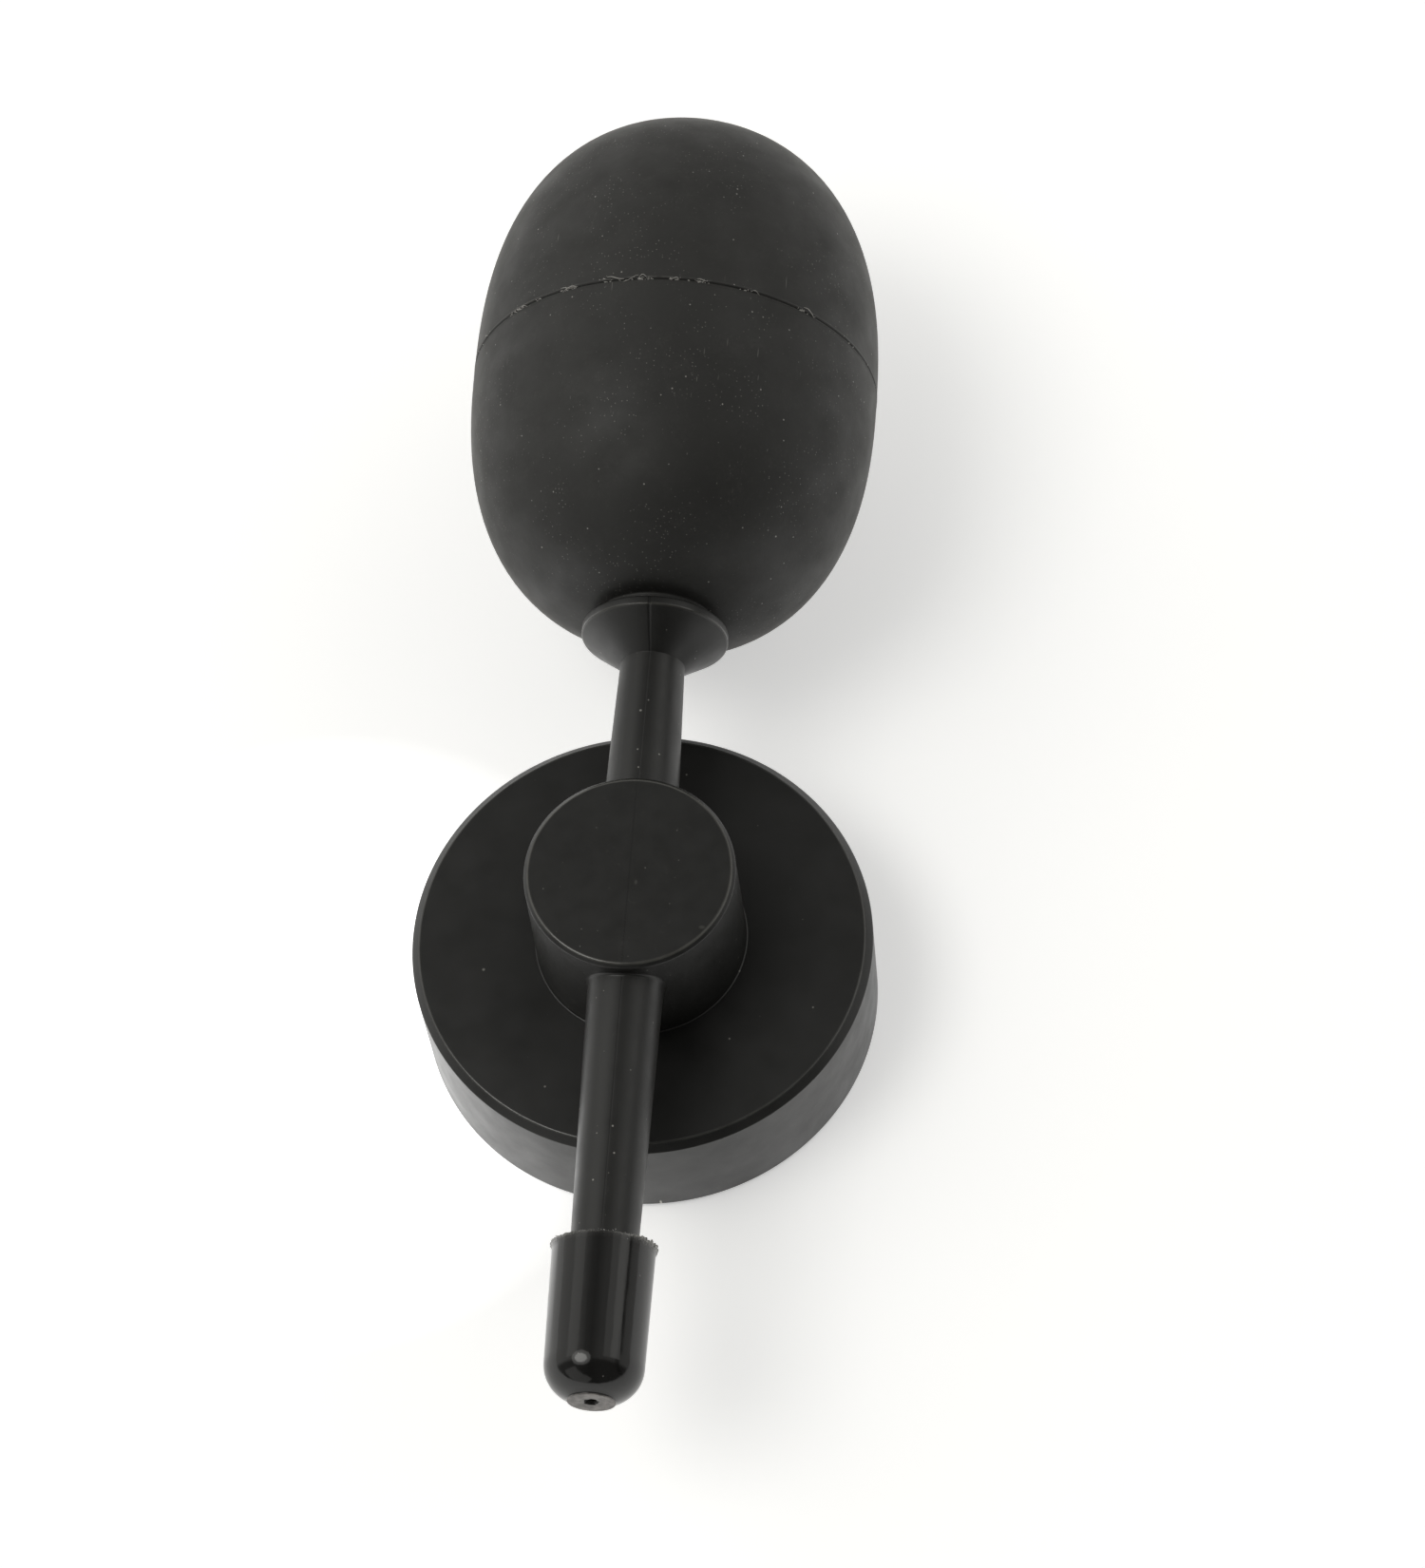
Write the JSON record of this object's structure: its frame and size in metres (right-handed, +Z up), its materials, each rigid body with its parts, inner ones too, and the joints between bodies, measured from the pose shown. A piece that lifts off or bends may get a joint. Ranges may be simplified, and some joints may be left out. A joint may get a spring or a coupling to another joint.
{
  "type": "bench dust blower bulb",
  "caption": "Bench-standing dust blower: a rubber squeeze bulb on a weighted round base, with a horizontal air arm and a soft nozzle tip.",
  "frame": {"origin": "centre of the base's underside, on the bench", "axes": "+Z up, the bulb lies towards +Y and the nozzle blows towards -Y, +X to the right of a person behind the nozzle's tip looking at the bulb"},
  "size_m": [0.05, 0.1514, 0.0485],
  "materials": {
    "base_metal": "satin black coating",
    "stem_plastic": "satin moulded plastic",
    "bulb_rubber": "matte, dusty",
    "tip_vinyl": "glossy soft vinyl",
    "pad_rubber": "matte",
    "screw_steel": "zinc plated",
    "insert_brass": "turned",
    "valve_plastic": "moulded",
    "disc_silicone": "smooth silicone"
  },
  "bodies": {
    "blower": {"base_weight": "base_metal", "foot_pad": "pad_rubber", "base_screw": "screw_steel", "lock_washer": "screw_steel", "threaded_insert": "insert_brass", "stem": "stem_plastic", "bulb": "bulb_rubber", "valve_body": "valve_plastic", "valve_retainer": "valve_plastic"},
    "left_side": {"bulb_left_side": "bulb_rubber"},
    "right_side": {"bulb_right_side": "bulb_rubber"},
    "tip": {"nozzle_tip": "tip_vinyl"},
    "intake_disc": {"valve_disc": "disc_silicone"}
  },
  "joints": [
    {"name": "left_press", "type": "slide", "parent": "blower", "child": "left_side", "axis": [1, 0, 0], "range_m": [0, 0.008], "stiffness_N_per_m": 1200},
    {"name": "right_press", "type": "slide", "parent": "blower", "child": "right_side", "axis": [-1, 0, 0], "range_m": [0, 0.008], "stiffness_N_per_m": 1200},
    {"name": "tip_pull", "type": "slide", "parent": "blower", "child": "tip", "axis": [0, -1, 0], "range_m": [0, 0.016]},
    {"name": "disc_lift", "type": "slide", "parent": "blower", "child": "intake_disc", "axis": [0, -1, 0], "range_m": [0, 0.0008]}
  ],
  "couplings": [
    {"joint": "right_press", "follows": "left_press", "ratio": 1}
  ]
}
